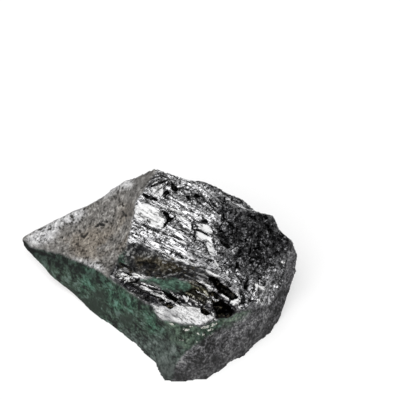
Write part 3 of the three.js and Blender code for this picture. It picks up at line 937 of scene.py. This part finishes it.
def moss_colour(n):
    """Dull green with pale crumbs."""
    tone = n.tone((150.0, 0.7), (420.0, 0.9), (1000.0, 0.9))
    return n.ramp(tone, (0.28, 0.01, 0.014, 0.01), (0.44, 0.051, 0.075, 0.055),
                  (0.6, 0.108, 0.157, 0.116), (0.74, 0.22, 0.26, 0.2), (0.86, 0.5, 0.5, 0.42))


def flank_colour(n):
    """The matt grey side: soft drifts of grey with sparse dark pits."""
    tone = n.tone((90.0, 1.2), (260.0, 1.1), (620.0, 1.6), (1300.0, 1.5))
    colour = n.ramp(tone, (0.2, 0.016), (0.4, 0.057, 0.056, 0.058), (0.55, 0.093, 0.091, 0.096),
                    (0.7, 0.142, 0.14, 0.147), (0.88, 0.3))
    pits = n.step(n.noise(620.0, 2.0), 0.6, 0.64)
    return n.mix(n.times(pits, 0.85), colour, rgb(0.012))


def riser_colour(n, zone):
    """Dark brown crystals, black between, with a few grey chips."""
    tone = n.tone((130.0, 0.7), (380.0, 1.0), (1000.0, 1.1))
    broad = n.noise(130.0, 2.0, 0.5)
    grey = n.ramp(tone, (0.3, 0.008, 0.008, 0.009), (0.45, 0.024, 0.024, 0.026),
                  (0.6, 0.05), (0.72, 0.24, 0.24, 0.235))
    brown = n.ramp(tone, (0.3, 0.008, 0.006, 0.003), (0.45, 0.022, 0.018, 0.01),
                   (0.6, 0.042, 0.034, 0.02), (0.72, 0.13, 0.12, 0.095))
    return n.mix(n.times(zone.olive, n.step(broad, 0.4, 0.52)), grey, brown)


def ledge_colour(n, zone):
    """Dark ledges streaked with grey, with an olive film."""
    ledge_place = n.along(LEDGE_STREAK, 0.1)
    streaks = n.tone((420.0, 0.8, ledge_place), (1100.0, 1.0, ledge_place), (900.0, 0.4))
    colour = n.ramp(streaks, (0.34, 0.018, 0.018, 0.02), (0.45, 0.095, 0.092, 0.096),
                    (0.56, 0.2, 0.198, 0.202), (0.68, 0.45, 0.45, 0.44))
    tone = n.tone((300.0, 0.8), (900.0, 1.0), (600.0, 0.6, ledge_place))
    olive = n.ramp(tone, (0.32, 0.008, 0.008, 0.005), (0.46, 0.045, 0.043, 0.028),
                   (0.6, 0.09, 0.085, 0.06), (0.74, 0.3, 0.3, 0.27))
    return n.mix(zone.olive, colour, olive)


def patch_colour(n):
    """The green film on the terrace."""
    tone = n.tone((260.0, 1.0), (800.0, 1.0))
    return n.ramp(tone, (0.3, 0.018, 0.03, 0.023), (0.48, 0.05, 0.095, 0.07), (0.7, 0.12, 0.21, 0.16))


def lump_colour(n, lath_place, zone, fine):
    """Each surface's colour laid over the ones before it, then chips, painted shade in the hollows and
    cracks, and painted shade along the foot.
    """
    metal = metal_colour(n, lath_place, zone)
    green = wall_colour(n, zone)
    moss = moss_colour(n)
    patch = patch_colour(n)
    ledge = n.mix(zone.filmed, ledge_colour(n, zone), patch)
    # painted shade in the terrace's corners beside the skin
    ledge = n.mix(n.times(zone.sooty, 0.7), ledge, rgb(0.02, 0.02, 0.022))
    ledge = n.mix(zone.edge, ledge, metal)
    riser = n.mix(n.times(zone.bright_green, 0.8), riser_colour(n, zone), green)
    riser = n.mix(zone.filmed, riser, patch)
    riser = n.mix(n.times(zone.edge, 0.6), riser, metal)
    grey = n.mix(zone.mossy, flank_colour(n), moss)

    colour = n.mix(zone.matte, metal, grey)
    colour = n.mix(zone.terrace, colour, ledge)
    colour = n.mix(zone.cleavage, colour, metal)
    colour = n.mix(zone.riser, colour, riser)
    colour = n.mix(zone.lens, colour, metal)
    colour = n.mix(zone.stain, colour, n.mix(zone.mossy, green, moss))
    chips = n.times(n.times(zone.edge, zone.dull), n.step(fine, 0.45, 0.53))
    colour = n.mix(chips, colour, rgb(0.48, 0.48, 0.44))
    colour = n.mix(zone.skin, colour, crust_colour(n, zone))
    # Painted shade: hollows, cracks and gashes are made nearly black, with a few olive flecks on the terrace
    shaded_hollows = n.most(n.step(zone.depth, 0.6, 0.95), zone.cracked)
    flecks = n.times(n.step(n.noise(620.0, 3.0, 0.8), 0.52, 0.6), zone.terrace)
    flecks = n.mix(flecks, rgb(0.006), rgb(0.05, 0.043, 0.03))
    colour = n.mix(n.times(shaded_hollows, n.blend(zone.dull, 1.0, 0.92)), colour, flecks)
    # painted shade along the foot of the flank, near the floor
    return n.mix(n.times(zone.dim_foot, 0.55), colour, rgb(0.02))


def lump_normal(n, lath_place, zone):
    """Grit on the matt surfaces, tilted facets on the metal, and bright blades turned towards the light."""
    grit = n.tone((320.0, 1.0), (900.0, 0.5))
    gritty = n.add("ShaderNodeBump", {"Height": grit, "Strength": zone.dull, "Distance": 0.45 * MM})
    calm = n.blend(zone.flat, 1.0, 0.35)
    tilt = facet_tilts(n, lath_place, zone, n.blend(zone.dull, calm, 0.0))
    bright = n.most(n.times(zone.edge, 1.6), n.times(zone.flat, 1.2))
    lit = n.vector("SCALE", BRIGHT_FACE, scale=n.times(bright, n.math("SUBTRACT", 1.0, zone.cracked)))
    return n.vector("NORMALIZE", n.vector("ADD", gritty.outputs["Normal"], n.vector("ADD", tilt, lit)))


def silicon_material():
    material, shader, tree = new_material("silicon")
    n = Nodes(tree)
    shader.inputs["Specular IOR Level"].default_value = 0.2
    lath_place = n.along(STREAK, 0.25)
    zone = SimpleNamespace(**{name: n.attribute(name) for name in ATTRIBUTES})
    zone.flat = n.math("ADD", zone.block, zone.lens, clamp=True)
    frayed = n.math("MULTIPLY_ADD", n.noise(1000.0, 2.0, 0.7), 2.6, -1.3)
    zone.edge = n.step(n.math("ADD", zone.blade_gap, frayed), 0.2, -0.25)
    cracked = n.step(n.math("ADD", zone.crack_gap, frayed), 0.2, -0.3)
    zone.cracked = n.times(cracked, n.step(zone.crack, -0.3, 0.45))
    fine = n.noise(900.0, 3.0, 0.85)
    zone.filmed = n.times(zone.patch, n.step(n.math("ADD", fine, zone.patch), 0.7, 1.1))
    plain = n.math("ADD", zone.dull, n.times(zone.filmed, 0.9), clamp=True)
    plain = n.math("ADD", plain, n.times(zone.riser, 0.8), clamp=True)
    tree.links.new(lump_colour(n, lath_place, zone, fine), shader.inputs["Base Color"])
    tree.links.new(lump_normal(n, lath_place, zone), shader.inputs["Normal"])
    tree.links.new(n.blend(plain, 1.0, 0.1), shader.inputs["Metallic"])
    tree.links.new(n.blend(plain, 0.3, 0.75), shader.inputs["Roughness"])
    return material


def floor_material():
    material, shader, _ = new_material("pale_floor")
    shader.inputs["Base Color"].default_value = rgb(FLOOR_GREY)
    shader.inputs["Emission Color"].default_value = rgb(1.0)
    shader.inputs["Emission Strength"].default_value = FLOOR_GLOW
    shader.inputs["Roughness"].default_value = 0.9
    shader.inputs["Specular IOR Level"].default_value = 0.1
    return material


def new_material(name):
    material = bpy.data.materials.new(name)
    material.use_nodes = True
    return material, material.node_tree.nodes["Principled BSDF"], material.node_tree


# ---- stage

def add_floor():
    corners = [(x * FLOOR_HALF, y * FLOOR_HALF, 0) for x, y in ((-1, -1), (1, -1), (1, 1), (-1, 1))]
    mesh = bpy.data.meshes.new("floor")
    mesh.from_pydata(corners, [], [(0, 1, 2, 3)])
    mesh.materials.append(floor_material())
    add_object("floor", mesh)


def add_softbox(name, towards, size, power):
    light = bpy.data.lights.new(name, "AREA")
    light.shape = "RECTANGLE"
    light.size, light.size_y = size
    light.energy = power
    made = add_object(name, light)
    towards = Vector(towards).normalized()
    made.location = towards * LIGHT_DISTANCE
    made.rotation_mode = "QUATERNION"
    made.rotation_quaternion = towards.to_track_quat("Z", "Y")
    made.visible_camera = False


def add_camera():
    data = bpy.data.cameras.new("camera")
    data.lens = LENS
    data.sensor_width = SENSOR
    data.clip_end = 100
    made = add_object("camera", data)
    made.location = Vector(CAMERA_PLACE) * MM
    made.rotation_euler = (math.radians(CAMERA_TILT), 0, 0)
    bpy.context.scene.camera = made


def add_world():
    world = bpy.data.worlds.new("studio")
    bpy.context.scene.world = world
    world.use_nodes = True
    background = world.node_tree.nodes["Background"]
    background.inputs["Color"].default_value = rgb(1.0)
    background.inputs["Strength"].default_value = WORLD_LIGHT


add_camera()
add_world()
add_floor()
add_softbox("key", **KEY_LIGHT)
add_softbox("fill", **FILL_LIGHT)
bpy.context.scene.view_settings.view_transform = "Standard"

lump = add_lump(*build_lump())
lump.data.materials.append(silicon_material())
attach(lump, "root")
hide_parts(NODE)
